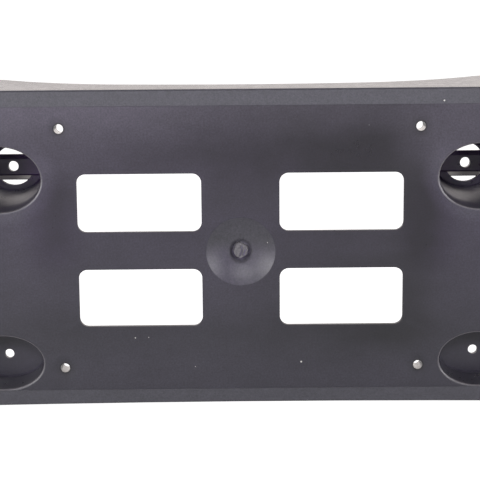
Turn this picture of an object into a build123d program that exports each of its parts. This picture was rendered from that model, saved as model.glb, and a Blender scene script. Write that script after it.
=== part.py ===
"""Number plate holder: one moulded piece with a face panel, a flared skirt and four screw cups.

The frame has X to the right, Y from the face to the back and Z up. The origin is the centre of the
four plate screw holes, on the front of the panel. All sizes are in millimetres.
"""

import os
from math import radians, sqrt, tan

from build123d import *

# The plate that the holder carries, and its screws
plate_width = 304.8
plate_height = 152.4
plate_hole_from_end = 63.5
plate_hole_from_edge = 15.875
plate_hole_diameter = 4.7
plate_boss_diameter = 9.4
plate_boss_depth = 12.0

# Face
side_margin = 2.8
top_margin = 2.9
bottom_margin = 2.5
bottom_bow = 1.15
face_corner_radius = 10.0
face_edge_bevel = 0.6
panel_wall = 2.5
border_height = 0.4
side_border = 7.6
top_border = 7.9
bottom_border = 6.9
border_corner_radius = 4.0

# Skirt, trimmed at the back to the shape of a bumper
skirt_wall = 2.2
skirt_draft = 3.0
upper_crown_depth = 20.3
upper_end_depth = 52.5
upper_seat_below_cup = 15.3
lower_crown_depth = 10.0
lower_end_depth = 22.0
lower_seat_above_cup = 17.6
crown_half_width = 60.0
crown_share = 0.1
seat_length = 28.2
seat_corner_radius = 25.0

# Upper screw cups
upper_cup_from_end = 36.2
upper_cup_from_top = 43.8
upper_cup_half_width = 20.6
upper_cup_half_height = 16.3
upper_cup_floor_depth = 51.0
upper_opening_radius = 10.4
upper_screw_rise = 1.1
upper_screw_diameter = 5.4
bar_above_screw = 6.2
bar_below_screw = 5.0
bar_proud = 2.5
bar_thickness = 3.0
bar_bevel_height = 2.5
bar_bevel_depth = 0.7
bar_foot_bevel = 0.8
lip_below_screw = 7.3
lip_width = 24.0
lip_length = 7.0
lip_thickness = 1.5
lip_edge_thickness = 0.4
lip_slope = 17.0

# Lower screw cups
lower_cup_from_end = 35.3
lower_cup_from_bottom = 21.1
lower_cup_half_width = 20.25
lower_cup_half_height = 13.8
lower_cup_floor_depth = 19.5
lower_screw_diameter = 4.8

# All the screw cups
cup_wall = 2.2
cup_floor_thickness = 2.5
cup_draft = 4.8
cup_rim_radius = 1.0
cup_floor_bevel = 0.8

# Windows
window_width = 61.6
window_height = 29.0
window_corner_radius = 4.5
window_spacing_x = 100.3
upper_window_height = 23.3
lower_window_height = -24.6

# Centre dish and the stub of the moulding gate
dish_height = -1.4
dish_radius = 17.3
dish_depth = 4.6
moat_edge_radius = 6.1
moat_shoulder_radius = 5.4
moat_shoulder_drop = 0.2
moat_floor_radius = 4.1
moat_depth = 1.0
stub_radius = 3.6
stub_height = 1.0
stub_flare = 0.3

# Ribs on the back
rib_thickness = 1.8
cup_rib_offset = 9.0
cup_rib_depth = 32.0
boss_rib_depth = 9.0

# Distance that cuts reach past what they cut, and that fused shapes reach into each other
overrun = 1.0
trim_overrun = 30.0

# Sizes that follow from the ones above
plate_hole_spacing_x = plate_width - 2 * plate_hole_from_end
plate_hole_spacing_z = plate_height - 2 * plate_hole_from_edge
face_half_width = plate_width / 2 + side_margin
face_top = plate_height / 2 + top_margin
face_bottom = plate_height / 2 + bottom_margin
deepest = upper_end_depth + overrun
skirt_flare = tan(radians(skirt_draft))
cup_taper = tan(radians(cup_draft))
upper_cup_x = face_half_width - upper_cup_from_end
upper_cup_height = face_top - upper_cup_from_top
upper_cup_back = upper_cup_floor_depth + cup_floor_thickness
upper_screw_height = upper_cup_height + upper_screw_rise
bar_depth = upper_cup_floor_depth - bar_proud
lower_cup_x = face_half_width - lower_cup_from_end
lower_cup_height = lower_cup_from_bottom - face_bottom
lower_cup_back = lower_cup_floor_depth + cup_floor_thickness
upper_seat_height = upper_cup_height - upper_seat_below_cup
lower_seat_height = lower_cup_height + lower_seat_above_cup
seat_half_width = face_half_width - seat_length


def skirt_middle(depth):
    """Distance of the middle of the skirt's wall outside the face's edge, at a depth."""
    return depth * skirt_flare - skirt_wall / 2


def at_depth(depth):
    """Sketch plane at a depth behind the panel front, with X to the right and Z up."""
    return Plane.XZ.offset(-depth)


def face_outline(depth, grow):
    """Outline of the face, grown on all sides, at a depth. Its bottom edge bows up in the middle."""
    half_width = face_half_width + grow
    top = face_top + grow
    bottom = -face_bottom - grow
    with BuildSketch(at_depth(depth)) as outline:
        with BuildLine():
            Polyline((half_width, bottom - bottom_bow), (half_width, top),
                     (-half_width, top), (-half_width, bottom - bottom_bow))
            ThreePointArc((-half_width, bottom - bottom_bow), (0, bottom), (half_width, bottom - bottom_bow))
        make_face()
        fillet(outline.vertices(), face_corner_radius + grow)
    return outline.sketch


def bumper_outline(height, crown_depth, end_depth):
    """Plan outline of the space that a bumper takes up, at a height."""
    shoulder_depth = crown_depth + crown_share * (end_depth - crown_depth)
    far = face_half_width + trim_overrun
    behind = deepest + trim_overrun
    with BuildSketch(Plane.XY.offset(height)) as outline:
        with BuildLine():
            crown = ThreePointArc((-crown_half_width, shoulder_depth), (0, crown_depth),
                                  (crown_half_width, shoulder_depth))
            TangentArc(crown @ 1, (seat_half_width, end_depth), tangent=crown % 1)
            TangentArc(crown @ 0, (-seat_half_width, end_depth), tangent=-(crown % 0))
            Polyline((seat_half_width, end_depth), (far, end_depth), (far, behind),
                     (-far, behind), (-far, end_depth), (-seat_half_width, end_depth))
        make_face()
        corners = outline.vertices().group_by(Axis.Y)[1].sort_by(Axis.X)[1:3]
        fillet(corners, seat_corner_radius)
    return outline.sketch


def cup_section(centre, half_width, half_height, depth, grow):
    """Ellipse of a screw cup at a depth, smaller towards the back by the draft."""
    change = grow - depth * cup_taper
    with BuildSketch(at_depth(depth)) as section:
        with Locations(centre):
            Ellipse(half_width + change, half_height + change)
    return section.sketch


def upper_cup_section(side, depth, grow):
    centre = (side * upper_cup_x, upper_cup_height)
    return cup_section(centre, upper_cup_half_width, upper_cup_half_height, depth, grow)


def lower_cup_section(side, depth, grow):
    centre = (side * lower_cup_x, lower_cup_height)
    return cup_section(centre, lower_cup_half_width, lower_cup_half_height, depth, grow)


def cup_inside(section, side, wall_depths, floor_depth):
    """Sections of a cup's inside: a rim rounded off in two bevels, the drafted wall and a bevelled floor."""
    halfway = cup_rim_radius * (1 - sqrt(0.5))
    rim = [section(side, 0, cup_rim_radius), section(side, halfway, halfway)]
    depths = [cup_rim_radius, *wall_depths, floor_depth - cup_floor_bevel]
    wall = [section(side, depth, 0) for depth in depths]
    return rim + wall + [section(side, floor_depth, -cup_floor_bevel)]


def wall_rib_section(x, start, edge, depth):
    """Side section of a rib from a start height to the middle of the skirt's top or bottom wall."""
    side = 1 if edge > 0 else -1
    with BuildSketch(Plane.YZ.offset(x)) as section:
        with BuildLine():
            Polyline((panel_wall / 2, start), (panel_wall / 2, edge + side * skirt_middle(panel_wall / 2)),
                     (depth, edge + side * skirt_middle(depth)), (depth, start), close=True)
        make_face()
    return section.sketch


def end_rib_section(side):
    """Plan section of a rib from an upper cup to the middle of the skirt's end wall."""
    start = side * upper_cup_x
    front_end = side * (face_half_width + skirt_middle(panel_wall / 2))
    back_end = side * (face_half_width + skirt_middle(cup_rib_depth))
    with BuildSketch(Plane.XY.offset(upper_cup_height)) as section:
        with BuildLine():
            Polyline((start, panel_wall / 2), (front_end, panel_wall / 2), (back_end, cup_rib_depth),
                     (start, cup_rib_depth), close=True)
        make_face()
    return section.sketch


def bar_section():
    """Side section of the bar across an upper cup, with a bevel along its top and its foot."""
    top = upper_screw_height + bar_above_screw
    bottom = upper_screw_height - bar_below_screw
    with BuildSketch(Plane.YZ) as section:
        with BuildLine():
            Polyline((bar_depth + bar_foot_bevel, bottom), (bar_depth, bottom + bar_foot_bevel),
                     (bar_depth, top - bar_bevel_height), (bar_depth + bar_bevel_depth, top),
                     (bar_depth + bar_thickness, top), (bar_depth + bar_thickness, bottom), close=True)
        make_face()
    return section.sketch


def lip_section(x):
    """Side section of the lip behind an upper cup, which slopes up to the back and has a thin front edge."""
    front = upper_cup_back - overrun
    edge = upper_screw_height - lip_below_screw
    back = front + lip_length
    back_top = edge + lip_length * tan(radians(lip_slope))
    with BuildSketch(Plane.YZ.offset(x)) as section:
        with BuildLine():
            Polyline((front, edge), (back, back_top), (back, back_top - lip_thickness),
                     (front, edge - lip_edge_thickness), close=True)
        make_face()
    return section.sketch


def dish_surface(radius):
    """Depth of the centre dish at a distance from its middle."""
    ball_radius = (dish_radius ** 2 + dish_depth ** 2) / (2 * dish_depth)
    return dish_depth - ball_radius + sqrt(ball_radius ** 2 - radius ** 2)


def stub_outline(plane, grow):
    """Uneven outline of the snapped gate stub."""
    corners = [(-0.53, 1.0), (-0.1, 1.02), (0.88, 0.5), (0.96, 0.0), (0.73, -0.64), (-0.07, -1.08),
               (-0.7, -0.76), (-0.96, -0.07)]
    with BuildSketch(plane) as outline:
        with BuildLine():
            Polyline([(x * (stub_radius + grow), z * (stub_radius + grow)) for x, z in corners], close=True)
        make_face()
    return outline.sketch


# Bars across the upper cups, which end in the middle of the cups' walls
with BuildPart() as bars:
    for side in (-1, 1):
        loft([upper_cup_section(side, panel_wall, cup_wall / 2),
              upper_cup_section(side, upper_cup_back, cup_wall / 2)], ruled=True)
    extrude(bar_section(), amount=face_half_width, both=True, mode=Mode.INTERSECT)

with BuildPart() as holder:
    # Face and skirt as one flared block, trimmed to the bumper and hollowed from the back
    loft([face_outline(-border_height, -face_edge_bevel), face_outline(face_edge_bevel - border_height, 0),
          face_outline(deepest, deepest * skirt_flare)], ruled=True)
    loft([bumper_outline(-face_bottom - trim_overrun, lower_crown_depth, lower_end_depth),
          bumper_outline(lower_seat_height, lower_crown_depth, lower_end_depth),
          bumper_outline(upper_seat_height, upper_crown_depth, upper_end_depth),
          bumper_outline(face_top + trim_overrun, upper_crown_depth, upper_end_depth)],
         ruled=True, mode=Mode.SUBTRACT)
    loft([face_outline(panel_wall, panel_wall * skirt_flare - skirt_wall),
          face_outline(deepest + overrun, (deepest + overrun) * skirt_flare - skirt_wall)],
         ruled=True, mode=Mode.SUBTRACT)

    # Panel set back inside the border
    panel_width = 2 * (face_half_width - side_border)
    panel_top = face_top - top_border
    panel_bottom = -face_bottom + bottom_border
    with BuildSketch(at_depth(-border_height)):
        with Locations((0, (panel_top + panel_bottom) / 2)):
            RectangleRounded(panel_width, panel_top - panel_bottom, border_corner_radius)
    extrude(amount=-border_height, mode=Mode.SUBTRACT)

    # Outer shapes of the cups, and the ribs that tie the upper ones to the skirt. The upper cups have a seam
    # behind the ribs and one in front of the bar, so that only short walls are cut up where others join them.
    for side in (-1, 1):
        loft([upper_cup_section(side, panel_wall / 2, cup_wall),
              upper_cup_section(side, cup_rib_depth + overrun, cup_wall),
              upper_cup_section(side, upper_cup_back, cup_wall)], ruled=True)
        loft([lower_cup_section(side, panel_wall / 2, cup_wall),
              lower_cup_section(side, lower_cup_back, cup_wall)], ruled=True)
        for offset in (-cup_rib_offset, cup_rib_offset):
            extrude(wall_rib_section(side * upper_cup_x + offset, upper_cup_height, face_top, cup_rib_depth),
                    amount=rib_thickness / 2, both=True)
        extrude(end_rib_section(side), amount=rib_thickness / 2, both=True)

    # Bosses of the plate screws, each with a rib to the skirt
    with BuildSketch(at_depth(panel_wall / 2)):
        with GridLocations(plate_hole_spacing_x, plate_hole_spacing_z, 2, 2):
            Circle(plate_boss_diameter / 2)
    extrude(amount=-(plate_boss_depth - panel_wall / 2))
    for x in (-plate_hole_spacing_x / 2, plate_hole_spacing_x / 2):
        extrude(wall_rib_section(x, plate_hole_spacing_z / 2, face_top, boss_rib_depth),
                amount=rib_thickness / 2, both=True)
        extrude(wall_rib_section(x, -plate_hole_spacing_z / 2, -face_bottom, boss_rib_depth),
                amount=rib_thickness / 2, both=True)

    # Insides of the cups
    for side in (-1, 1):
        loft(cup_inside(upper_cup_section, side, [bar_depth - overrun], upper_cup_floor_depth),
             ruled=True, mode=Mode.SUBTRACT)
        loft(cup_inside(lower_cup_section, side, [], lower_cup_floor_depth), ruled=True, mode=Mode.SUBTRACT)

    # Through opening of each upper cup, the bar across it and the lip behind it
    with BuildSketch(at_depth(upper_cup_floor_depth - overrun)):
        with Locations((-upper_cup_x, upper_screw_height), (upper_cup_x, upper_screw_height)):
            Circle(upper_opening_radius)
    extrude(amount=-(cup_floor_thickness + 2 * overrun), mode=Mode.SUBTRACT)
    add(bars.part)
    for side in (-1, 1):
        extrude(lip_section(side * upper_cup_x), amount=lip_width / 2, both=True)

    # Screw holes
    with BuildSketch(at_depth(-border_height)):
        with GridLocations(plate_hole_spacing_x, plate_hole_spacing_z, 2, 2):
            Circle(plate_hole_diameter / 2)
    extrude(amount=-(border_height + plate_boss_depth), mode=Mode.SUBTRACT)
    with BuildSketch(at_depth(bar_depth - overrun)):
        with Locations((-upper_cup_x, upper_screw_height), (upper_cup_x, upper_screw_height)):
            Circle(upper_screw_diameter / 2)
    extrude(amount=-(bar_thickness + 2 * overrun), mode=Mode.SUBTRACT)
    with BuildSketch(at_depth(lower_cup_floor_depth - overrun)):
        with Locations((-lower_cup_x, lower_cup_height), (lower_cup_x, lower_cup_height)):
            Circle(lower_screw_diameter / 2)
    extrude(amount=-(cup_floor_thickness + 2 * overrun), mode=Mode.SUBTRACT)

    # Windows
    with BuildSketch(at_depth(-border_height)):
        for height in (upper_window_height, lower_window_height):
            with Locations((-window_spacing_x / 2, height), (window_spacing_x / 2, height)):
                RectangleRounded(window_width, window_height, window_corner_radius)
    extrude(amount=-(border_height + panel_wall), mode=Mode.SUBTRACT)

    # Centre dish, a shallow part of a ball, backed by the same wall as the panel
    dish_axis = Axis((0, 0, dish_height), (0, 1, 0))
    with BuildSketch(Plane.XY.offset(dish_height)):
        with BuildLine():
            TangentArc((0, dish_depth + panel_wall), (dish_radius, panel_wall), tangent=(1, 0))
            Polyline((dish_radius, panel_wall), (dish_radius, panel_wall / 2), (0, panel_wall / 2),
                     (0, dish_depth + panel_wall))
        make_face()
    revolve(axis=dish_axis)
    with BuildSketch(Plane.XY.offset(dish_height)):
        with BuildLine():
            TangentArc((0, dish_depth), (dish_radius, 0), tangent=(1, 0))
            Polyline((dish_radius, 0), (dish_radius, -border_height), (0, -border_height), (0, dish_depth))
        make_face()
    revolve(axis=dish_axis, mode=Mode.SUBTRACT)

    # Stub of the moulding gate in the dish, with a funnel-shaped moat round it
    moat_floor = dish_depth + moat_depth
    with BuildSketch(Plane.XY.offset(dish_height)):
        with BuildLine():
            Polyline((0, 0), (moat_edge_radius, 0), (moat_edge_radius, dish_surface(moat_edge_radius)),
                     (moat_shoulder_radius, dish_surface(moat_shoulder_radius) + moat_shoulder_drop),
                     (moat_floor_radius, moat_floor), (0, moat_floor), close=True)
        make_face()
    revolve(axis=dish_axis, mode=Mode.SUBTRACT)
    stub_base = Plane((0, moat_floor, dish_height), x_dir=(1, 0, 0), z_dir=(0, -1, 0))
    stub_top = Plane((0, dish_depth - stub_height, dish_height), x_dir=(1, 0, 0), z_dir=(0.12, -1, 0.18))
    loft([stub_outline(stub_base, stub_flare), stub_outline(stub_top, 0)], ruled=True)

holder.part.label = "holder"
os.makedirs("parts", exist_ok=True)
export_step(holder.part, "parts/holder.step")
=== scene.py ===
"""Looks of the number plate holder: moulded plastic finish, torn gate stub and a plain studio stage.

All lengths are in metres, in the frame of the CAD part: X to the right, Y from the face to the back, Z up.
"""

import math

import bmesh
import bpy
from bpy.props import FloatProperty, FloatVectorProperty, PointerProperty
from mathutils import Matrix, Vector, noise


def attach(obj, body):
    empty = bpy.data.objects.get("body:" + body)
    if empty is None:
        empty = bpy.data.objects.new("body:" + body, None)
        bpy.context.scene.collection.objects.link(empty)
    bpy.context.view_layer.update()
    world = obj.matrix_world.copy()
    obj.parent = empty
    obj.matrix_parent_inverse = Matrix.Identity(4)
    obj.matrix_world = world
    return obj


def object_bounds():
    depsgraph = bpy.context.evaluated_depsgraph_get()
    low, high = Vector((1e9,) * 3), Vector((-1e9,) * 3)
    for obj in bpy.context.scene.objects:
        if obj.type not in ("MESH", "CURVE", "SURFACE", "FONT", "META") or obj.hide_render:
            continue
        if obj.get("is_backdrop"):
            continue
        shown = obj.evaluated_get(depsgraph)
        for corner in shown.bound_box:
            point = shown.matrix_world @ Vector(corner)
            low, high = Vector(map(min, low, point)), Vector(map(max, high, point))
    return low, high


bl_info = {
    "name": "Number Plate Holder Looks",
    "version": (1, 0, 0),
    "blender": (4, 5, 0),
    "location": "View3D > Sidebar > Plate Holder",
    "description": "Moulded plastic finish, torn gate stub and studio stage of a number plate holder",
    "category": "Object",
}

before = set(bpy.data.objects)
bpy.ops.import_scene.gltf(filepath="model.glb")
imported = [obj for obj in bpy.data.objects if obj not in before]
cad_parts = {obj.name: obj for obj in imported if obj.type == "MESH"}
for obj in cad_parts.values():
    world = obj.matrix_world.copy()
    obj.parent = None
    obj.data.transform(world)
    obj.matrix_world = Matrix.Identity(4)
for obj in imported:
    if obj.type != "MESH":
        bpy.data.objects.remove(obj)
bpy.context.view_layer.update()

# Limits of the smooth panel inside the grained border
PANEL_HALF_WIDTH = 0.1476
PANEL_TOP = 0.0712
PANEL_BOTTOM = -0.0718
BORDER_EDGE = (-0.0001, 0.0001)

# Plate screw holes, and the dark ring and sink mark round each, both with painted shade
PLATE_SCREW_X = 0.0889
PLATE_SCREW_Z = 0.060325
PLATE_BORE_RADIUS = 0.0025
HOLE_RING_WIDTH = 0.0009
SINK_EDGE = (0.0020, 0.0075)

# Mounting cups: centres and half sizes at the face, and their tapered wall
UPPER_CUP_X = 0.1190
UPPER_CUP_Z = 0.0353
UPPER_CUP_HALF_WIDTH = 0.0206
UPPER_CUP_HALF_HEIGHT = 0.0163
LOWER_CUP_X = 0.1199
LOWER_CUP_Z = -0.0576
LOWER_CUP_HALF_WIDTH = 0.02025
LOWER_CUP_HALF_HEIGHT = 0.0138
CUP_WALL = 0.0022
CUP_TAPER = 0.084
CUP_INNER = (0.102, UPPER_CUP_X)
CUP_LOW = (UPPER_CUP_Z - 0.010, UPPER_CUP_Z - 0.004)

# Depths behind the face where one region of the moulding gives way to the next
BORE_START = (0.0002, 0.0008)
RIM_START = (0.0001, 0.0003)
RIM_END = (0.0008, 0.0014)
CUP_START = (0.0008, 0.0025)
GRAIN_END = (0.0010, 0.0030)
MOUTH_END = (0.006, 0.018)
CUP_DEEP = (0.005, 0.050)
BAR_BACK = 0.0512
LIP_START = (0.0513, 0.0520)

# Windows in two rows, one a rise above their middle and one a rise below it
WINDOW_X = 0.05015
WINDOW_MIDDLE_Z = -0.00065
WINDOW_RISE = 0.02395
WINDOW_HALF_WIDTH = 0.0308
WINDOW_HALF_HEIGHT = 0.0145

# Snapped gate stub in the centre dish: its uneven outline, break and cracks
DISH_CENTRE = Vector((0.0, 0.0, -0.0014))
STUB_CORNERS = [(-0.53, 1.0), (-0.1, 1.02), (0.88, 0.5), (0.96, 0.0), (0.73, -0.64), (-0.07, -1.08),
                (-0.7, -0.76), (-0.96, -0.07)]
STUB_RADIUS = 0.0036
STUB_MARGIN = 1.02
PARALLEL_LIMIT = 1e-9
CORNER_SLACK = 1e-6
STUB_DEPTH = 0.0036
STUB_TILT = (0.12, 0.18)
STUB_FLARE = 0.0003
STUB_EDGE = (0.0034, 0.0040)
STUB_EDGE_SHADE = 0.6
STUB_CRACKS = [((0.0003, 0.0022), (-0.0006, -0.0030), 0.0006), ((0.0024, 0.0004), (0.0013, -0.0025), 0.0)]
CRACK_WIDTH = 0.0006
CRACK_DEPTH = 0.0008
CRACK_SHADE = 0.92
TEAR_LIFT = 0.0002
TEAR_RELIEF = 0.00022
COARSE_TEAR_SCALE = 700
COARSE_TEAR_SLICE = 3.7
FINE_TEAR_SCALE = 1700
FINE_TEAR_SLICE = 8.1
FINE_TEAR_SHARE = 0.5
TEAR_SPOKES = 72
TEAR_RINGS = 18
GATE_EDGE = (0.0044, 0.0053)
MOAT_FLOOR = 0.0056
# Disc of painted shade round the gate, a little below its middle
MOAT_EDGE = (0.0050, 0.0066)
MOAT_SHADE_DROP = 0.001

# Flow marks and painted light: places, fades and changes of brightness; a pair of changes runs from left to
# right
TOP_LIGHT_SPAN = (0.010, PANEL_TOP + 0.004)
TOP_LIGHT_GAIN = 1.67
LEAN_RISE = (0.028, PANEL_TOP + 0.006)
LEAN_LEFT = (-0.12, 0.05)
LEAN_LEFT_CHANGE = (0.54, -0.28)
LEAN_RIGHT = (0.075, 0.115)
LEAN_RIGHT_CHANGE = 0.26
HALO_HALF_WIDTH = 0.0216
HALO_HALF_HEIGHT = 0.0173
HALO_REACH = 1.48
HALO_INWARD = (-0.006, 0.022)
HALO_CHANGE = 0.66
BELT_REACH = 0.026
BELT_TURN = (-0.01, 0.07)
BELT_CHANGE = (-0.06, -0.60)
BAND_Z = 0.049
BAND_REACH = 0.029
BAND_TURN = (-0.10, 0.03)
BAND_CHANGE = (-0.36, -0.74)
BAND_END = (0.058, 0.100)
BAND_SHARE = 0.75
GLOSSY_BAND = (-0.9, 0.0)
COLUMN_X = 0.093
COLUMN_REACH = 0.020
COLUMN_Z = 0.014
COLUMN_ENDS = (0.010, 0.032)
COLUMN_CHANGE = -0.74
MIDDLE_SIDES = (0.010, 0.024)
MIDDLE_FOOT = (0.014, 0.019)
MIDDLE_HEAD = (0.036, 0.056)
MIDDLE_CHANGE = -0.20
STRIP_Z = -0.041
STRIP_REACH = 0.018
STRIP_CHANGE = -0.16
WELD_Z = -0.0365
WELD_SLOPE = -0.45
WELD_HALF_WIDTH = 0.0028
WELD_START = (0.0, 0.003)
WELD_END = (0.004, 0.018)
WELD_CHANGE = 0.16
STREAK_SCALE = 26.0
STREAK_STRETCH = (1.0, 1.0, 2.2)
STREAK_CHANGE = 0.16
DISH_EDGE = (0.0168, 0.0174)
DISH_CHANGE = 0.56
UPPER_DISH = (-0.004, 0.006)
UPPER_DISH_CHANGE = 0.26
DRAG_MARKS = (-0.0002, 0.00135)
DRAG_HALF_WIDTH = 0.0005
DRAG_START = (0.0030, 0.0040)
DRAG_END = (0.0045, 0.0100)
DRAG_CHANGE = -0.80
DARKEST = 0.3

# Violet cast of the colour: where it comes in and fades, and what a halo takes from it
VIOLET_FOOT = (-0.045, 0.010)
VIOLET_SHARE = 0.5
VIOLET_HEAD = (0.020, 0.065)
VIOLET_TOP_SHARE = 0.35
HALO_LOSS = 0.6

# Textures: scales are per metre, and a contrast is the swing to each side of the middle
NOISE_SPAN = (0.3, 0.7)
BLOTCH_SCALE = 22.0
SPECKLE_SCALE = 320.0
BLOTCH_ROUGHNESS = 0.25
DUST_SCALE = 300.0
DUST_RADIUS = 0.14
GRAIN_CONTRAST = 0.22
TEXTURE_CONTRAST = 0.26
MOAT_MOTTLE_SCALE = 700.0
MOAT_MOTTLE_CONTRAST = 0.4
RIPPLE_SCALE = 90.0
RIPPLE_HEIGHT = 0.012
FIBRE_SCALE = 900.0
FIBRE_SPAN = (0.30, 0.60)
FIBRE_LEAST = 0.6

# Plastic of the holder and of the torn stub: blotches, dust, painted light and shade, roughness and bump
PANEL_BLOTCHES = 0.30
PANEL_DUST = 0.014
BORDER_FOOT_GAIN = 1.06
BORDER_TOP_GAIN = 0.86
# Painted light on the inner end of each bar
BAR_END_LIGHT_GAIN = 3.2
SINK_SHADE = 0.72
HOLE_RING_SHADE = 0.35
MOAT_ROUGHNESS = 0.75
LIP_ROUGHNESS = 0.62
LIP_INNER = (0.0, 0.40)
PANEL_BUMP = 0.001
PLASTIC_IOR = 1.5
TEAR_BLOTCHES = 0.20
TEAR_DUST = 0.10
TEAR_ROUGHNESS = 0.62
TEAR_BUMP = 0.0005

# Stage: floor, room and camera; a softbox has azimuth and elevation in degrees, then width and height
FLOOR_REACH = 6
FLOOR_GAP = 0.0005
FLOOR_ROUGHNESS = 0.9
FLOOR_GLOW = 0.95
FLOOR_MIRROR_GLOW = 0.15
LIGHT_DISTANCE = 1.2
LEFT_SOFTBOX = (-47, 13, (0.75, 0.6))
RIGHT_SOFTBOX = (51, 13, (0.5, 0.6))
FRONT_SOFTBOX = (-3, 26, (0.6, 0.25))
ROOM_TURN = (0.1, 0.5)
ROOM_DIFFUSE = 0.3
WHITE = (1, 1, 1, 1)
SENSOR_WIDTH = 36
CAMERA_PLACE = Vector((-0.00503, -0.68512, 0.12503))
CAMERA_RIGHT = Vector((0.999937, -0.008163, -0.007729))
CAMERA_UP = Vector((0.009028, 0.173349, 0.984819))


class HolderFinish(bpy.types.PropertyGroup):
    """Colours, painted light and shade, and surface of the moulded plastic."""

    violet_colour: FloatVectorProperty(
        name="Violet colour", description="Colour of the plastic where it has a violet cast", subtype="COLOR",
        size=4, min=0, max=1, default=(0.0274, 0.0212, 0.0400, 1))
    plain_colour: FloatVectorProperty(
        name="Plain colour", description="Colour of the plastic without the violet cast", subtype="COLOR",
        size=4, min=0, max=1, default=(0.0240, 0.0220, 0.0310, 1))
    top_colour: FloatVectorProperty(
        name="Top colour", description="Colour of the plastic along the top, where the cast fades",
        subtype="COLOR", size=4, min=0, max=1, default=(0.0256, 0.0222, 0.0318, 1))
    dish_colour: FloatVectorProperty(
        name="Dish colour", description="Colour of the upper half of the centre dish", subtype="COLOR",
        size=4, min=0, max=1, default=(0.0240, 0.0228, 0.0286, 1))
    # Painted light on the floors of the deep cups
    cup_floor_light_gain: FloatProperty(
        name="Cup gain", description="Brightness of the plastic at the bottom of the deep cups", min=0,
        default=2.6)
    bar_colour: FloatVectorProperty(
        name="Bar colour", description="Colour of the bars that cross the upper cups", subtype="COLOR",
        size=4, min=0, max=1, default=(0.0330, 0.0170, 0.0560, 1))
    bar_gain: FloatProperty(
        name="Bar gain", description="Brightness of the bars that cross the upper cups", min=0, default=0.95)
    # Painted highlight: a paler colour along the rims of the cups
    rim_highlight_colour: FloatVectorProperty(
        name="Rim colour", description="Colour of the polished rims of the cups", subtype="COLOR",
        size=4, min=0, max=1, default=(0.108, 0.100, 0.112, 1))
    # Painted light on the plastic round the snapped gate, in its moat
    gate_light_gain: FloatProperty(
        name="Gate gain", description="Brightness of the plastic round the snapped gate", min=0, default=2.6)
    # Painted shade in a ring round the snapped gate
    moat_shade_gain: FloatProperty(
        name="Moat gain", description="Brightness of the rubbed ring round the snapped gate", min=0,
        default=0.82)
    border_colour: FloatVectorProperty(
        name="Border colour", description="Colour of the grained border", subtype="COLOR",
        size=4, min=0, max=1, default=(0.0232, 0.0222, 0.0284, 1))
    border_gain: FloatProperty(
        name="Border gain", description="How much paler the grained border looks than the panel", min=0,
        default=1.47)
    # Strength of the flow marks and of the painted light across the panel
    flow_and_light_contrast: FloatProperty(
        name="Flow contrast", description="Strength of the flow marks of the moulding", subtype="FACTOR",
        min=0, max=1, default=0.8)
    tear_colour: FloatVectorProperty(
        name="Tear colour", description="Colour of the stretched plastic on the torn gate stub",
        subtype="COLOR", size=4, min=0, max=1, default=(0.103, 0.096, 0.108, 1))
    dust_colour: FloatVectorProperty(
        name="Dust colour", description="Colour of the dust specks", subtype="COLOR",
        size=4, min=0, max=1, default=(0.45, 0.44, 0.42, 1))
    panel_roughness: FloatProperty(
        name="Panel roughness", description="Roughness of the smooth panel", subtype="FACTOR",
        min=0, max=1, default=0.40)
    gloss_roughness: FloatProperty(
        name="Gloss roughness", description="Roughness of the panel where the plastic set glossier",
        subtype="FACTOR", min=0, max=1, default=0.27)
    border_roughness: FloatProperty(
        name="Border roughness", description="Roughness of the grained border", subtype="FACTOR",
        min=0, max=1, default=0.55)
    skirt_roughness: FloatProperty(
        name="Skirt roughness", description="Roughness of the skirt behind the border", subtype="FACTOR",
        min=0, max=1, default=0.25)
    cup_roughness: FloatProperty(
        name="Cup roughness", description="Roughness inside the mounting cups", subtype="FACTOR",
        min=0, max=1, default=0.30)
    mouth_roughness: FloatProperty(
        name="Mouth roughness", description="Roughness of the cups' walls near their rims", subtype="FACTOR",
        min=0, max=1, default=0.65)
    bore_roughness: FloatProperty(
        name="Bore roughness", description="Roughness inside the plate screw holes", subtype="FACTOR",
        min=0, max=1, default=0.28)
    grain_size: FloatProperty(
        name="Grain size", description="Width of one grain of the border's texture", unit="LENGTH",
        subtype="DISTANCE", min=0.0001, default=0.0007)
    grain_depth: FloatProperty(
        name="Grain depth", description="Depth of the border's texture", unit="LENGTH",
        subtype="DISTANCE", min=0, default=0.0001)
    texture_size: FloatProperty(
        name="Texture size", description="Width of the fine mottle of the smooth panel", unit="LENGTH",
        subtype="DISTANCE", min=0.0001, default=0.0009)
    sink_depth: FloatProperty(
        name="Sink depth", description="Depth of the sink mark around each plate screw hole", unit="LENGTH",
        subtype="DISTANCE", min=0, default=0.00025)


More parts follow.
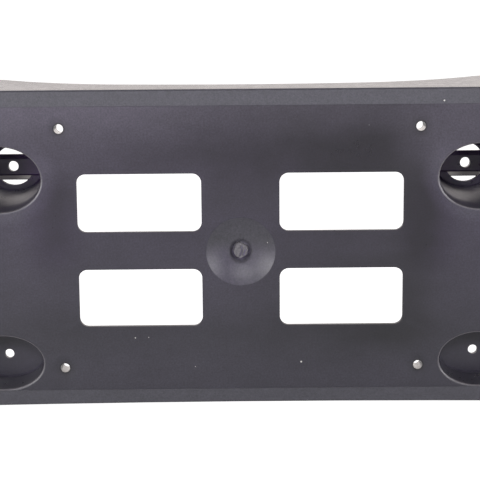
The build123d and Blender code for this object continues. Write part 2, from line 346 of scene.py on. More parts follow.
class HolderStage(bpy.types.PropertyGroup):
    """Floor, light and camera."""

    floor_colour: FloatVectorProperty(
        name="Floor colour", description="Colour of the pale floor", subtype="COLOR",
        size=4, min=0, max=1, default=(0.80, 0.80, 0.80, 1))
    left_power: FloatProperty(
        name="Left light", description="Power of the softbox at the left", unit="POWER", min=0, default=11.0)
    right_power: FloatProperty(
        name="Right light", description="Power of the softbox at the right", unit="POWER", min=0, default=8.8)
    front_power: FloatProperty(
        name="Front light", description="Power of the softbox above the camera", unit="POWER", min=0,
        default=6.0)
    back_light: FloatProperty(
        name="Back light", description="Brightness of the white room behind the holder", min=0, default=1.35)
    back_colour: FloatVectorProperty(
        name="Back colour", description="Warm tint of the white room behind the holder", subtype="COLOR",
        size=4, min=0, max=1, default=(1.0, 0.935, 0.91, 1))
    front_colour: FloatVectorProperty(
        name="Front colour", description="Cool tint of the dim room in front of the holder", subtype="COLOR",
        size=4, min=0, max=1, default=(0.97, 0.90, 1.0, 1))
    room_light: FloatProperty(
        name="Room light", description="Brightness of the dim room in front of the holder", min=0,
        default=0.10)
    lens: FloatProperty(
        name="Lens", description="Focal length on a 36 mm wide square sensor", unit="CAMERA", min=1,
        default=105.05)


def connect(tree, socket, value):
    """Links an input to another node's output, or sets its plain value."""
    if isinstance(value, bpy.types.NodeSocket):
        tree.links.new(value, socket)
    else:
        socket.default_value = value


def math_node(tree, operation, first, second=0.0, clamp=False):
    """One step of maths on plain numbers or other nodes' outputs."""
    node = tree.nodes.new("ShaderNodeMath")
    node.operation = operation
    node.use_clamp = clamp
    connect(tree, node.inputs[0], first)
    connect(tree, node.inputs[1], second)
    return node.outputs[0]


def total(tree, first, *others):
    """Sum of several values."""
    for other in others:
        first = math_node(tree, "ADD", first, other)
    return first


def product(tree, first, *others):
    """Product of several values."""
    for other in others:
        first = math_node(tree, "MULTIPLY", first, other)
    return first


def less(tree, first, second):
    """First value less the second."""
    return math_node(tree, "SUBTRACT", first, second)


def gap(tree, value, place):
    """How far a value is from a place, to either side."""
    return math_node(tree, "ABSOLUTE", less(tree, value, place))


def distance_node(tree, first, second):
    """Length of the flat vector with two parts."""
    return math_node(tree, "SQRT", total(tree, product(tree, first, first), product(tree, second, second)))


def range_node(tree, value, span, to_low=0.0, to_high=1.0, smooth=False):
    """Carries a span of values to another one, held at both ends."""
    node = tree.nodes.new("ShaderNodeMapRange")
    node.interpolation_type = "SMOOTHSTEP" if smooth else "LINEAR"
    connect(tree, node.inputs["Value"], value)
    connect(tree, node.inputs["From Min"], span[0])
    connect(tree, node.inputs["From Max"], span[1])
    connect(tree, node.inputs["To Min"], to_low)
    connect(tree, node.inputs["To Max"], to_high)
    return node.outputs["Result"]


def fade(tree, value, span, strength=1.0):
    """Smooth fall from a strength to nothing over a span."""
    return range_node(tree, value, span, strength, 0.0, smooth=True)


def blend(tree, share, first, second):
    """First value where the share is 0, the second where it is 1."""
    return range_node(tree, share, (0.0, 1.0), first, second)


def spread(tree, texture, middle, swing):
    """Noise texture carried to a swing on each side of a middle."""
    return range_node(tree, texture, NOISE_SPAN, middle - swing, middle + swing)


def noise_node(tree, vector, scale, detail=2.0, roughness=0.5):
    node = tree.nodes.new("ShaderNodeTexNoise")
    connect(tree, node.inputs["Vector"], vector)
    connect(tree, node.inputs["Scale"], scale)
    connect(tree, node.inputs["Detail"], detail)
    connect(tree, node.inputs["Roughness"], roughness)
    return node.outputs["Fac"]


def mix_colour(tree, share, first, second):
    node = tree.nodes.new("ShaderNodeMix")
    node.data_type = "RGBA"
    connect(tree, node.inputs["Factor"], share)
    connect(tree, node.inputs["A"], first)
    connect(tree, node.inputs["B"], second)
    return node.outputs["Result"]


def scale_colour(tree, colour, brightness):
    node = tree.nodes.new("ShaderNodeVectorMath")
    node.operation = "SCALE"
    connect(tree, node.inputs[0], colour)
    connect(tree, node.inputs["Scale"], brightness)
    return node.outputs[0]


def coordinates(tree, position):
    """X, Y and Z of a position."""
    split = tree.nodes.new("ShaderNodeSeparateXYZ")
    tree.links.new(position, split.inputs[0])
    return split.outputs["X"], split.outputs["Y"], split.outputs["Z"]


def new_group(name, amounts, outputs):
    """Empty shader node group with a position, named amounts and named outputs."""
    tree = bpy.data.node_groups.new(name, "ShaderNodeTree")
    tree.interface.new_socket("Position", in_out="INPUT", socket_type="NodeSocketVector")
    for label, default in amounts.items():
        socket = tree.interface.new_socket(label, in_out="INPUT", socket_type="NodeSocketFloat")
        socket.default_value = default
    for label in outputs:
        tree.interface.new_socket(label, in_out="OUTPUT", socket_type="NodeSocketFloat")
    return tree, tree.nodes.new("NodeGroupInput"), tree.nodes.new("NodeGroupOutput")


def use_group(tree, group, **values):
    """Places a node group in a tree with its own values."""
    node = tree.nodes.new("ShaderNodeGroup")
    node.node_tree = group
    for name, value in values.items():
        connect(tree, node.inputs[name], value)
    return node


def put(tree, target, name, value):
    """Links a value to a named output of a node group."""
    tree.links.new(value, target.inputs[name])


def moulding_marks_group():
    """Soft blotches that cooling leaves in dark moulded plastic, as a brightness and a roughness change."""
    tree, source, target = new_group("Moulding marks", {"Contrast": 0.15}, ["Brightness", "Roughness Change"])
    position = source.outputs["Position"]
    broad = noise_node(tree, position, BLOTCH_SCALE, detail=3.0, roughness=0.55)
    fine = noise_node(tree, position, SPECKLE_SCALE, detail=2.0, roughness=0.5)
    centred = less(tree, product(tree, total(tree, broad, fine), 0.5), 0.5)
    swing = product(tree, centred, source.outputs["Contrast"], 2.0)
    put(tree, target, "Brightness", total(tree, swing, 1.0))
    put(tree, target, "Roughness Change", product(tree, centred, BLOTCH_ROUGHNESS))
    return tree


def top_lean(tree, side, height):
    """Painted light: the ends of the panel's top, paler than its middle and palest on the left."""
    left = range_node(tree, side, LEAN_LEFT, *LEAN_LEFT_CHANGE, smooth=True)
    right = range_node(tree, side, LEAN_RIGHT, 0.0, LEAN_RIGHT_CHANGE, smooth=True)
    return product(tree, total(tree, left, right), range_node(tree, height, LEAN_RISE, smooth=True))


def cup_halo(tree, across, height):
    """Pale halo round each upper cup, on the side of the panel's middle and below."""
    off_x = math_node(tree, "DIVIDE", less(tree, across, UPPER_CUP_X), HALO_HALF_WIDTH)
    off_z = math_node(tree, "DIVIDE", less(tree, height, UPPER_CUP_Z), HALO_HALF_HEIGHT)
    inward = less(tree, UPPER_CUP_X + UPPER_CUP_Z, total(tree, across, height))
    return product(tree, fade(tree, distance_node(tree, off_x, off_z), (1.0, HALO_REACH), HALO_CHANGE),
                   range_node(tree, inward, HALO_INWARD, smooth=True))


def window_belt(tree, side, across, height):
    """Dark belt round each window, darker on the right."""
    beside = less(tree, gap(tree, across, WINDOW_X), WINDOW_HALF_WIDTH)
    from_row = gap(tree, gap(tree, height, WINDOW_MIDDLE_Z), WINDOW_RISE)
    beyond = less(tree, from_row, WINDOW_HALF_HEIGHT)
    from_window = distance_node(tree, math_node(tree, "MAXIMUM", beside, 0.0),
                                math_node(tree, "MAXIMUM", beyond, 0.0))
    return product(tree, fade(tree, from_window, (0.0, BELT_REACH)),
                   range_node(tree, side, BELT_TURN, *BELT_CHANGE, smooth=True))


def dark_band(tree, side, across, height):
    """Dark glossy band above the upper windows, with a column between each upper cup and its window."""
    band = product(tree, fade(tree, gap(tree, height, BAND_Z), (0.0, BAND_REACH)),
                   range_node(tree, side, BAND_TURN, *BAND_CHANGE, smooth=True), fade(tree, side, BAND_END))
    column = product(tree, fade(tree, gap(tree, across, COLUMN_X), (0.0, COLUMN_REACH), COLUMN_CHANGE),
                     fade(tree, gap(tree, height, COLUMN_Z), COLUMN_ENDS))
    return total(tree, band, column)


def dark_middle(tree, across, height):
    """Darker middle between the upper windows."""
    return product(tree, fade(tree, across, MIDDLE_SIDES, MIDDLE_CHANGE),
                   range_node(tree, height, MIDDLE_FOOT), fade(tree, height, MIDDLE_HEAD))


def weld_line(tree, across, height):
    """Faint pale line that runs outward and down from the lower outer corner of each lower window."""
    run = less(tree, across, WINDOW_X + WINDOW_HALF_WIDTH)
    line = total(tree, product(tree, run, WELD_SLOPE), WELD_Z)
    on_line = fade(tree, gap(tree, height, line), (0.0, WELD_HALF_WIDTH), WELD_CHANGE)
    return product(tree, on_line, range_node(tree, run, WELD_START), fade(tree, run, WELD_END))


def flow_streaks(tree, position):
    """Faint level streaks along the flow."""
    stretch = tree.nodes.new("ShaderNodeMapping")
    stretch.inputs["Scale"].default_value = STREAK_STRETCH
    tree.links.new(position, stretch.inputs["Vector"])
    streaks = noise_node(tree, stretch.outputs["Vector"], STREAK_SCALE, detail=3.0, roughness=0.55)
    return spread(tree, streaks, 0.0, STREAK_CHANGE)


def drag_marks(tree, side, above_gate):
    """Faint dark lines in the dish, above its snapped gate."""
    lines = [fade(tree, gap(tree, side, place), (0.0, DRAG_HALF_WIDTH), DRAG_CHANGE) for place in DRAG_MARKS]
    return product(tree, total(tree, *lines), range_node(tree, above_gate, DRAG_START),
                   fade(tree, above_gate, DRAG_END))


def flow_marks_and_light_group():
    """Marks of the moulding and painted light across the panel: its brightness, paler top, violet share,
    gloss and upper dish.
    """
    tree, source, target = new_group("Flow marks and light", {"Contrast": 0.8},
                                     ["Brightness", "Top Light", "Violet Share", "Gloss", "Dish"])
    position = source.outputs["Position"]
    side, _, height = coordinates(tree, position)
    across = math_node(tree, "ABSOLUTE", side)
    halo = cup_halo(tree, across, height)
    band = dark_band(tree, side, across, height)
    strip = fade(tree, gap(tree, height, STRIP_Z), (0.0, STRIP_REACH), STRIP_CHANGE)
    above_gate = less(tree, height, DISH_CENTRE.z)
    in_dish = range_node(tree, distance_node(tree, side, above_gate), DISH_EDGE, 1.0, 0.0)
    upper_dish = product(tree, in_dish, range_node(tree, above_gate, UPPER_DISH, smooth=True))

    marks = total(
        tree, halo, strip, product(tree, band, BAND_SHARE), window_belt(tree, side, across, height),
        dark_middle(tree, across, height), weld_line(tree, across, height), flow_streaks(tree, position),
        top_lean(tree, side, height), product(tree, in_dish, DISH_CHANGE),
        product(tree, upper_dish, UPPER_DISH_CHANGE), drag_marks(tree, side, above_gate))
    swing = product(tree, marks, source.outputs["Contrast"])
    put(tree, target, "Brightness", math_node(tree, "MAXIMUM", total(tree, swing, 1.0), DARKEST))
    # Painted light: the panel grows paler towards its top
    put(tree, target, "Top Light", range_node(tree, height, TOP_LIGHT_SPAN, 1.0, TOP_LIGHT_GAIN, smooth=True))
    put(tree, target, "Gloss", range_node(tree, band, GLOSSY_BAND, 1.0, 0.0))
    put(tree, target, "Dish", upper_dish)

    # The band is below 0, so taking it away adds to the violet share, and a halo lowers it
    violet = product(tree, range_node(tree, height, VIOLET_FOOT, 0.0, VIOLET_SHARE),
                     range_node(tree, height, VIOLET_HEAD, 1.0, VIOLET_TOP_SHARE))
    taken = total(tree, band, product(tree, halo, HALO_LOSS))
    put(tree, target, "Violet Share", math_node(tree, "SUBTRACT", violet, taken, clamp=True))
    return tree


def dust_group():
    """Sparse pale dust specks as a mask."""
    tree, source, target = new_group("Dust specks", {"Share": 0.06}, ["Mask"])
    cells = tree.nodes.new("ShaderNodeTexVoronoi")
    tree.links.new(source.outputs["Position"], cells.inputs["Vector"])
    cells.inputs["Scale"].default_value = DUST_SCALE
    pick = tree.nodes.new("ShaderNodeSeparateColor")
    tree.links.new(cells.outputs["Color"], pick.inputs["Color"])
    size = product(tree, pick.outputs["Green"], DUST_RADIUS)
    near = math_node(tree, "LESS_THAN", cells.outputs["Distance"], size)
    chosen = math_node(tree, "LESS_THAN", pick.outputs["Red"], source.outputs["Share"])
    put(tree, target, "Mask", product(tree, near, chosen))
    return tree


def border_regions(tree, target, across, depth, height):
    """The border round the panel, its grained face and the skirt behind it."""
    beyond_side = less(tree, across, PANEL_HALF_WIDTH)
    beyond_top = less(tree, height, PANEL_TOP)
    beyond_bottom = less(tree, PANEL_BOTTOM, height)
    beyond = math_node(tree, "MAXIMUM", beyond_side, math_node(tree, "MAXIMUM", beyond_top, beyond_bottom))
    border = range_node(tree, beyond, BORDER_EDGE)
    put(tree, target, "Border", border)
    put(tree, target, "Grain", product(tree, border, range_node(tree, depth, GRAIN_END, 1.0, 0.0)))
    put(tree, target, "Skirt", product(tree, border, range_node(tree, depth, GRAIN_END)))


def within_cup(tree, across, depth, height, upper_half):
    """Mask of what lies within the middle of a cup's tapered wall."""
    cup_x = blend(tree, upper_half, LOWER_CUP_X, UPPER_CUP_X)
    cup_z = blend(tree, upper_half, LOWER_CUP_Z, UPPER_CUP_Z)
    half_width = blend(tree, upper_half, LOWER_CUP_HALF_WIDTH, UPPER_CUP_HALF_WIDTH)
    half_height = blend(tree, upper_half, LOWER_CUP_HALF_HEIGHT, UPPER_CUP_HALF_HEIGHT)
    wider = less(tree, CUP_WALL / 2, product(tree, depth, CUP_TAPER))
    off_x = math_node(tree, "DIVIDE", less(tree, across, cup_x), total(tree, half_width, wider))
    off_z = math_node(tree, "DIVIDE", less(tree, height, cup_z), total(tree, half_height, wider))
    return math_node(tree, "LESS_THAN", distance_node(tree, off_x, off_z), 1.0)


def cup_regions(tree, target, across, depth, height):
    """Parts of the mounting cups: walls, rims, mouths, bars and the lips behind the bars."""
    upper_half = math_node(tree, "GREATER_THAN", height, 0.0)
    inside = within_cup(tree, across, depth, height, upper_half)
    deep = product(tree, range_node(tree, depth, CUP_DEEP), inside)
    low = range_node(tree, height, CUP_LOW, 1.0, 0.0)
    on_rim = product(tree, range_node(tree, depth, RIM_START), range_node(tree, depth, RIM_END, 1.0, 0.0))
    bar = math_node(tree, "SUBTRACT", deep, low, clamp=True)
    put(tree, target, "Cup", product(tree, range_node(tree, depth, CUP_START), inside))
    put(tree, target, "Rim", product(tree, on_rim, inside))
    put(tree, target, "Cup Mouth", product(tree, fade(tree, depth, MOUTH_END), upper_half))
    put(tree, target, "Cup Depth", deep)
    put(tree, target, "Cup Low", low)
    put(tree, target, "Cup Inner", range_node(tree, across, CUP_INNER, 1.0, 0.0))
    put(tree, target, "Bar", product(tree, bar, math_node(tree, "LESS_THAN", depth, BAR_BACK)))
    put(tree, target, "Lip", product(tree, range_node(tree, depth, LIP_START), inside))


def gate_regions(tree, target, side, height):
    """Masks of the snapped gate and of a wider, rougher disc a little below it, for painted light on the gate
    and painted shade round it.
    """
    above_gate = less(tree, height, DISH_CENTRE.z)
    from_gate = distance_node(tree, side, above_gate)
    from_shade_ring = distance_node(tree, side, total(tree, above_gate, MOAT_SHADE_DROP))
    put(tree, target, "Gate", fade(tree, from_gate, GATE_EDGE))
    put(tree, target, "Moat", fade(tree, from_shade_ring, MOAT_EDGE))


def screw_regions(tree, target, across, depth, height):
    """Bores of the plate screws, the edge of each hole and its sink mark."""
    from_screw = distance_node(tree, less(tree, across, PLATE_SCREW_X),
                               less(tree, math_node(tree, "ABSOLUTE", height), PLATE_SCREW_Z))
    ring = (PLATE_BORE_RADIUS, PLATE_BORE_RADIUS + HOLE_RING_WIDTH)
    in_bore = math_node(tree, "LESS_THAN", from_screw, PLATE_BORE_RADIUS)
    put(tree, target, "Sink", fade(tree, from_screw, SINK_EDGE))
    put(tree, target, "Hole Edge", range_node(tree, from_screw, ring, 1.0, 0.0))
    put(tree, target, "Bore", product(tree, in_bore, range_node(tree, depth, BORE_START)))


def face_regions_group():
    """Masks of the border, the skirt, the parts of the cups, the gate and the plate screw holes."""
    tree, source, target = new_group("Face regions", {}, [
        "Border", "Grain", "Skirt", "Cup", "Rim", "Cup Mouth", "Cup Depth", "Cup Low", "Cup Inner", "Bar",
        "Lip", "Gate", "Moat", "Sink", "Hole Edge", "Bore"])
    side, depth, height = coordinates(tree, source.outputs["Position"])
    across = math_node(tree, "ABSOLUTE", side)
    border_regions(tree, target, across, depth, height)
    cup_regions(tree, target, across, depth, height)
    gate_regions(tree, target, side, height)
    screw_regions(tree, target, across, depth, height)
    return tree


def new_material(name):
    """Material with its node tree and its shader."""
    material = bpy.data.materials.new(name)
    material.use_nodes = True
    return material, material.node_tree, material.node_tree.nodes["Principled BSDF"]


def add_bump(tree, shader, height, distance):
    """Bump of a shader; a height of 1 stands for the distance."""
    bump = tree.nodes.new("ShaderNodeBump")
    bump.inputs["Distance"].default_value = distance
    tree.links.new(height, bump.inputs["Height"])
    tree.links.new(bump.outputs["Normal"], shader.inputs["Normal"])


def plastic_colour(tree, finish, region, flow_light, faded):
    """Colour of the plastic before it is made paler or darker."""
    colour = mix_colour(tree, flow_light["Violet Share"], finish.plain_colour, finish.violet_colour)
    colour = mix_colour(tree, flow_light["Dish"], colour, finish.dish_colour)
    colour = mix_colour(tree, faded, colour, finish.top_colour)
    colour = mix_colour(tree, region["Border"], colour, finish.border_colour)
    return mix_colour(tree, region["Bar"], colour, finish.bar_colour)


def plastic_gain(tree, finish, position, grain, region, flow_light, faded):
    """How much paler or darker than its colour the plastic is."""
    mottle = spread(tree, grain, finish.border_gain, GRAIN_CONTRAST * finish.border_gain)
    # The painted light along the top is weaker on the border
    mottle = product(tree, mottle, blend(tree, faded, BORDER_FOOT_GAIN, BORDER_TOP_GAIN))
    texture = noise_node(tree, position, 1.0 / finish.texture_size, detail=2.0, roughness=0.6)
    panel_gain = product(tree, flow_light["Brightness"], spread(tree, texture, 1.0, TEXTURE_CONTRAST))
    gain = blend(tree, region["Border"], panel_gain, mottle)

    # Painted light: the inner end of each bar is paler than its middle
    lit_inner_end = product(tree, region["Cup Inner"], region["Bar"])
    bar_gain = blend(tree, lit_inner_end, finish.bar_gain, BAR_END_LIGHT_GAIN * finish.bar_gain)
    # Painted light deep in the cups, below the bars of the upper cups and in all of the lower cups
    deep_light_gain = blend(tree, region["Cup Low"], bar_gain, finish.cup_floor_light_gain)
    gain = blend(tree, region["Cup Depth"], gain, deep_light_gain)
    # Painted shade in a mottled ring round the snapped gate
    gain = blend(tree, region["Moat"], gain, finish.moat_shade_gain)
    # Painted light round the snapped gate
    gain = blend(tree, region["Gate"], gain, finish.gate_light_gain)

    # Painted shade round each plate screw hole: over its sink mark and in a dark ring at its edge
    sink_shade = blend(tree, region["Sink"], 1.0, SINK_SHADE)
    ring_shade = blend(tree, region["Hole Edge"], 1.0, HOLE_RING_SHADE)
    ring_shade = blend(tree, region["Bore"], ring_shade, 1.0)
    # The painted shade round the gate is mottled
    shaded = spread(tree, noise_node(tree, position, MOAT_MOTTLE_SCALE, detail=2.0, roughness=0.6), 1.0, MOAT_MOTTLE_CONTRAST)
    mottled_shade = blend(tree, region["Moat"], 1.0, shaded)
    return product(tree, gain, sink_shade, ring_shade, mottled_shade, flow_light["Top Light"])


def plastic_roughness(tree, finish, region, flow_light):
    """Roughness of the plastic in each region."""
    roughness = blend(tree, flow_light["Gloss"], finish.panel_roughness, finish.gloss_roughness)
    roughness = blend(tree, region["Grain"], roughness, finish.border_roughness)
    roughness = blend(tree, region["Moat"], roughness, MOAT_ROUGHNESS)
    roughness = blend(tree, region["Skirt"], roughness, finish.skirt_roughness)
    in_cup = blend(tree, region["Cup Mouth"], finish.cup_roughness, finish.mouth_roughness)
    on_lip = range_node(tree, region["Cup Inner"], LIP_INNER, LIP_ROUGHNESS, finish.cup_roughness)
    in_cup = blend(tree, region["Lip"], in_cup, on_lip)
    roughness = blend(tree, region["Cup"], roughness, in_cup)
    return blend(tree, region["Bore"], roughness, finish.bore_roughness)


def plastic_height(tree, finish, position, grain, region):
    """Height of the border's grain, the panel's faint ripple and the sink marks."""
    grain_height = product(tree, grain, region["Grain"], finish.grain_depth / PANEL_BUMP)
    polished = math_node(tree, "MAXIMUM", region["Cup"], region["Skirt"])
    ripple = product(tree, noise_node(tree, position, RIPPLE_SCALE, detail=1.0, roughness=0.5),
                     blend(tree, polished, RIPPLE_HEIGHT, 0.0))
    sink_height = product(tree, region["Sink"], -finish.sink_depth / PANEL_BUMP)
    return total(tree, grain_height, ripple, sink_height)


def plastic_material(finish, marks, flow, dust, regions):
    """Black moulded plastic: satin panel, grained border, skirt, cups, flow marks, sink marks and dust, with
    painted light and shade.
    """
    material, tree, shader = new_material("holder_plastic")
    position = tree.nodes.new("ShaderNodeTexCoord").outputs["Object"]
    region = use_group(tree, regions, Position=position).outputs
    mark = use_group(tree, marks, Position=position, Contrast=PANEL_BLOTCHES).outputs
    flow_light = use_group(tree, flow, Position=position, Contrast=finish.flow_and_light_contrast).outputs
    speck = use_group(tree, dust, Position=position, Share=PANEL_DUST).outputs
    grain = noise_node(tree, position, 1.0 / finish.grain_size, detail=2.0, roughness=0.6)
    faded = range_node(tree, flow_light["Top Light"], (1.0, TOP_LIGHT_GAIN))

    plain = plastic_colour(tree, finish, region, flow_light, faded)
    gain = plastic_gain(tree, finish, position, grain, region, flow_light, faded)
    marked = scale_colour(tree, plain, product(tree, gain, mark["Brightness"]))
    # Painted highlight along the rims of the cups
    marked = mix_colour(tree, region["Rim"], marked, finish.rim_highlight_colour)
    dusty = mix_colour(tree, speck["Mask"], marked, finish.dust_colour)
    tree.links.new(dusty, shader.inputs["Base Color"])

    roughness = plastic_roughness(tree, finish, region, flow_light)
    tree.links.new(total(tree, roughness, mark["Roughness Change"]), shader.inputs["Roughness"])
    tree.links.new(region["Bore"], shader.inputs["Coat Weight"])
    add_bump(tree, shader, plastic_height(tree, finish, position, grain, region), PANEL_BUMP)
    shader.inputs["IOR"].default_value = PLASTIC_IOR
    shader.inputs["Coat Roughness"].default_value = finish.bore_roughness
    return material


def torn_shade(tree, position):
    """Painted shade of the torn stub: dark along its cracks and towards its edge."""
    side, _, level = coordinates(tree, position)
    height = less(tree, level, DISH_CENTRE.z)
    shade = range_node(tree, distance_node(tree, side, height), STUB_EDGE, 1.0, STUB_EDGE_SHADE, smooth=True)
    for upper, lower, bend in STUB_CRACKS:
        share = range_node(tree, height, (lower[1], upper[1]))
        bow = product(tree, share, less(tree, 1.0, share))
        line = total(tree, blend(tree, share, lower[0], upper[0]), product(tree, bow, 4 * bend))
        open_here = math_node(tree, "GREATER_THAN", bow, 0.0)
        dark = product(tree, fade(tree, gap(tree, side, line), (0.0, CRACK_WIDTH), CRACK_SHADE), open_here)
        shade = product(tree, shade, less(tree, 1.0, dark))
    return shade


def tear_material(finish, marks, dust):
    """Stress-whitened plastic where the moulding gate was snapped off."""
    material, tree, shader = new_material("gate_tear")
    position = tree.nodes.new("ShaderNodeTexCoord").outputs["Object"]
    mark = use_group(tree, marks, Position=position, Contrast=TEAR_BLOTCHES).outputs
    speck = use_group(tree, dust, Position=position, Share=TEAR_DUST).outputs
    fibres = noise_node(tree, position, FIBRE_SCALE, detail=4.0, roughness=0.65)
    whitened = range_node(tree, fibres, FIBRE_SPAN, FIBRE_LEAST, 1.0)
    stretched = mix_colour(tree, whitened, finish.plain_colour, finish.tear_colour)
    # Painted shade along the stub's cracks and towards its edge
    marked = scale_colour(tree, stretched, product(tree, mark["Brightness"], torn_shade(tree, position)))
    dusty = mix_colour(tree, speck["Mask"], marked, finish.dust_colour)
    tree.links.new(dusty, shader.inputs["Base Color"])
    tree.links.new(total(tree, mark["Roughness Change"], TEAR_ROUGHNESS), shader.inputs["Roughness"])
    add_bump(tree, shader, fibres, TEAR_BUMP)
    return material


def shared_group(name, make):
    """A node group that is built once."""
    return bpy.data.node_groups.get(name) or make()


class HOLDER_OT_finish_plastic(bpy.types.Operator):
    """Gives the holder its moulded plastic finish"""

    bl_idname = "holder.finish_plastic"
    bl_label = "Finish Plastic"

    def execute(self, context):
        finish = context.scene.holder_finish
        material = plastic_material(
            finish,
            shared_group("Moulding marks", moulding_marks_group),
            shared_group("Flow marks and light", flow_marks_and_light_group),
            shared_group("Dust specks", dust_group),
            shared_group("Face regions", face_regions_group))
        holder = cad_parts["holder"]
        for slot in holder.material_slots:
            slot.material = material
        return {"FINISHED"}


def stub_reach(angle):
    """Distance from the middle of the stub to its uneven edge, a little outside the moulded stub."""
    ray = Vector((math.cos(angle), math.sin(angle)))
    for first, second in zip(STUB_CORNERS, STUB_CORNERS[1:] + STUB_CORNERS[:1]):
        start = Vector(first) * STUB_RADIUS
        along = Vector(second) * STUB_RADIUS - start
        across = ray.x * along.y - ray.y * along.x
        if abs(across) > PARALLEL_LIMIT:
            reach = (start.x * along.y - start.y * along.x) / across
            share = (start.x * ray.y - start.y * ray.x) / across
            if reach > 0 and -CORNER_SLACK <= share <= 1 + CORNER_SLACK:
                return reach * STUB_MARGIN
    raise RuntimeError("The stub's corners do not close round its middle")


def torn_depth(x, z):
    """Depth of the torn surface: a tilted break with ragged fibres, a bent crack and a straight one."""
    coarse = noise.noise(Vector((x * COARSE_TEAR_SCALE, z * COARSE_TEAR_SCALE, COARSE_TEAR_SLICE)))
    fine = noise.noise(Vector((x * FINE_TEAR_SCALE, z * FINE_TEAR_SCALE, FINE_TEAR_SLICE)))
    ragged = coarse + FINE_TEAR_SHARE * fine
    depth = STUB_DEPTH + STUB_TILT[0] * x + STUB_TILT[1] * z - TEAR_LIFT + TEAR_RELIEF * ragged
    for upper, lower, bend in STUB_CRACKS:
        share = (z - lower[1]) / (upper[1] - lower[1])
        if 0 <= share <= 1:
            line = lower[0] + share * (upper[0] - lower[0]) + bend * 4 * share * (1 - share)
            depth += CRACK_DEPTH * max(0.0, 1 - abs(x - line) / CRACK_WIDTH)
    return depth


def torn_skin():
    """Mesh of the torn stub: rings over its ragged break and a flared foot on the moat's floor."""
    skin = bmesh.new()
    angles = [math.tau * spoke / TEAR_SPOKES for spoke in range(TEAR_SPOKES)]
    rows = []
    for ring in range(1, TEAR_RINGS + 1):
        row = []
        for angle in angles:
            reach = stub_reach(angle) * ring / TEAR_RINGS
            x = reach * math.cos(angle)
            z = reach * math.sin(angle)
            row.append(skin.verts.new(DISH_CENTRE + Vector((x, torn_depth(x, z), z))))
        rows.append(row)
    foot = []
    for angle in angles:
        reach = stub_reach(angle) + STUB_FLARE
        place = Vector((reach * math.cos(angle), MOAT_FLOOR, reach * math.sin(angle)))
        foot.append(skin.verts.new(DISH_CENTRE + place))
    rows.append(foot)
    middle = skin.verts.new(DISH_CENTRE + Vector((0, torn_depth(0, 0), 0)))
    for spoke in range(TEAR_SPOKES):
        after = (spoke + 1) % TEAR_SPOKES
        skin.faces.new((middle, rows[0][after], rows[0][spoke]))
        for inner, outer in zip(rows, rows[1:]):
            skin.faces.new((inner[spoke], inner[after], outer[after], outer[spoke]))
    bmesh.ops.recalc_face_normals(skin, faces=skin.faces)
    mesh = bpy.data.meshes.new("gate_tear")
    skin.to_mesh(mesh)
    skin.free()
    return mesh


class HOLDER_OT_tear_gate_stub(bpy.types.Operator):
    """Adds the torn skin on the stub where the moulding gate was snapped off"""

    bl_idname = "holder.tear_gate_stub"
    bl_label = "Tear Gate Stub"

    def execute(self, context):
        tear = bpy.data.objects.new("gate_tear", torn_skin())
        context.scene.collection.objects.link(tear)
        tear.data.materials.append(tear_material(
            context.scene.holder_finish,
            shared_group("Moulding marks", moulding_marks_group),
            shared_group("Dust specks", dust_group)))
        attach(tear, "root")
        return {"FINISHED"}


def softbox(context, name, azimuth, elevation, size, power):
    """Rectangular studio light that faces the holder; azimuth 0 is in front of it, positive to the right."""
    light = bpy.data.lights.new(name, "AREA")
    light.shape = "RECTANGLE"
    light.size, light.size_y = size
    light.energy = power
    lamp = bpy.data.objects.new(name, light)
    turn = math.radians(azimuth)
    rise = math.radians(elevation)
    level = LIGHT_DISTANCE * math.cos(rise)
    place = Vector((level * math.sin(turn), -level * math.cos(turn), LIGHT_DISTANCE * math.sin(rise)))
    lamp.location = place
    lamp.rotation_euler = (-place).to_track_quat("-Z", "Y").to_euler()
    context.scene.collection.objects.link(lamp)


def viewing_rays(tree):
    """Masks of the rays from the camera, straight or through something clear, and of mirrored rays."""
    path = tree.nodes.new("ShaderNodeLightPath")
    seen = math_node(tree, "MAXIMUM", path.outputs["Is Camera Ray"], path.outputs["Is Transmission Ray"])
    return seen, path.outputs["Is Glossy Ray"]


def white_room(stage):
    """World that is white behind the holder and dim in front of it, and white to the camera."""
    world = bpy.data.worlds.new("white_room")
    world.use_nodes = True
    tree = world.node_tree
    background = tree.nodes["Background"]
    _, backward, _ = coordinates(tree, tree.nodes.new("ShaderNodeTexCoord").outputs["Generated"])
    behind = range_node(tree, backward, ROOM_TURN, smooth=True)
    seen, glossy = viewing_rays(tree)
    shown = math_node(tree, "MAXIMUM", blend(tree, behind, stage.room_light, stage.back_light), seen)
    dimmed = blend(tree, math_node(tree, "MAXIMUM", seen, glossy), ROOM_DIFFUSE, 1.0)
    tree.links.new(product(tree, shown, dimmed), background.inputs["Strength"])
    tint = mix_colour(tree, behind, stage.front_colour, stage.back_colour)
    tree.links.new(mix_colour(tree, seen, tint, WHITE), background.inputs["Color"])
    return world


def floor_material(stage):
    """Pale floor that looks white to the camera and still shows a soft shadow."""
    material, tree, shader = new_material("pale_floor")
    shader.inputs["Base Color"].default_value = stage.floor_colour
    shader.inputs["Roughness"].default_value = FLOOR_ROUGHNESS
    shader.inputs["Emission Color"].default_value = WHITE
    seen, glossy = viewing_rays(tree)
    glow = math_node(tree, "MAXIMUM", product(tree, seen, FLOOR_GLOW),
                     product(tree, glossy, FLOOR_MIRROR_GLOW))
    tree.links.new(glow, shader.inputs["Emission Strength"])
    return material


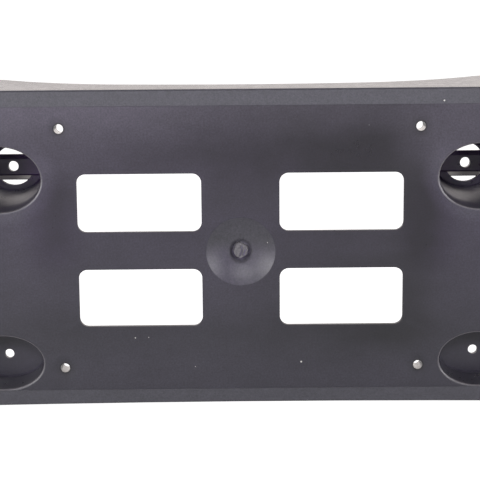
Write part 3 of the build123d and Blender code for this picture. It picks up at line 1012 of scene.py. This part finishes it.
def add_camera(context, focal_length):
    """Camera at the place and turn that were fitted to the photograph."""
    lens = bpy.data.cameras.new("camera")
    lens.sensor_fit = "HORIZONTAL"
    lens.sensor_width = SENSOR_WIDTH
    lens.lens = focal_length
    camera = bpy.data.objects.new("camera", lens)
    turn = Matrix((CAMERA_RIGHT, CAMERA_UP, CAMERA_RIGHT.cross(CAMERA_UP))).transposed()
    camera.matrix_world = Matrix.Translation(CAMERA_PLACE) @ turn.to_4x4()
    context.scene.collection.objects.link(camera)
    context.scene.camera = camera


class HOLDER_OT_set_stage(bpy.types.Operator):
    """Adds the floor, the studio light and the camera"""

    bl_idname = "holder.set_stage"
    bl_label = "Set Stage"

    def execute(self, context):
        stage = context.scene.holder_stage
        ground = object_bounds()[0][2] - FLOOR_GAP
        mesh = bpy.data.meshes.new("floor")
        corners = [(-FLOOR_REACH, -FLOOR_REACH, ground), (FLOOR_REACH, -FLOOR_REACH, ground),
                   (FLOOR_REACH, FLOOR_REACH, ground), (-FLOOR_REACH, FLOOR_REACH, ground)]
        mesh.from_pydata(corners, [], [(0, 1, 2, 3)])
        floor = bpy.data.objects.new("floor", mesh)
        mesh.materials.append(floor_material(stage))
        context.scene.collection.objects.link(floor)
        floor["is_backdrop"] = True

        softbox(context, "left_softbox", *LEFT_SOFTBOX, stage.left_power)
        softbox(context, "right_softbox", *RIGHT_SOFTBOX, stage.right_power)
        softbox(context, "front_softbox", *FRONT_SOFTBOX, stage.front_power)
        context.scene.world = white_room(stage)
        add_camera(context, stage.lens)
        context.scene.view_settings.view_transform = "Standard"
        return {"FINISHED"}


class HOLDER_PT_looks(bpy.types.Panel):
    """Sidebar panel with the finish, the stage and their operators"""

    bl_idname = "HOLDER_PT_looks"
    bl_label = "Plate Holder"
    bl_space_type = "VIEW_3D"
    bl_region_type = "UI"
    bl_category = "Plate Holder"

    def draw(self, context):
        layout = self.layout
        for group, operators in (
                (context.scene.holder_finish, (HOLDER_OT_finish_plastic, HOLDER_OT_tear_gate_stub)),
                (context.scene.holder_stage, (HOLDER_OT_set_stage,))):
            column = layout.column()
            for name in group.__annotations__:
                column.prop(group, name)
            for operator in operators:
                column.operator(operator.bl_idname)


CLASSES = (
    HolderFinish,
    HolderStage,
    HOLDER_OT_finish_plastic,
    HOLDER_OT_tear_gate_stub,
    HOLDER_OT_set_stage,
    HOLDER_PT_looks,
)


def register():
    for item in CLASSES:
        bpy.utils.register_class(item)
    bpy.types.Scene.holder_finish = PointerProperty(type=HolderFinish)
    bpy.types.Scene.holder_stage = PointerProperty(type=HolderStage)


def unregister():
    del bpy.types.Scene.holder_stage
    del bpy.types.Scene.holder_finish
    for item in reversed(CLASSES):
        bpy.utils.unregister_class(item)


def main():
    register()
    bpy.ops.holder.finish_plastic()
    bpy.ops.holder.tear_gate_stub()
    bpy.ops.holder.set_stage()


if __name__ == "__main__":
    main()
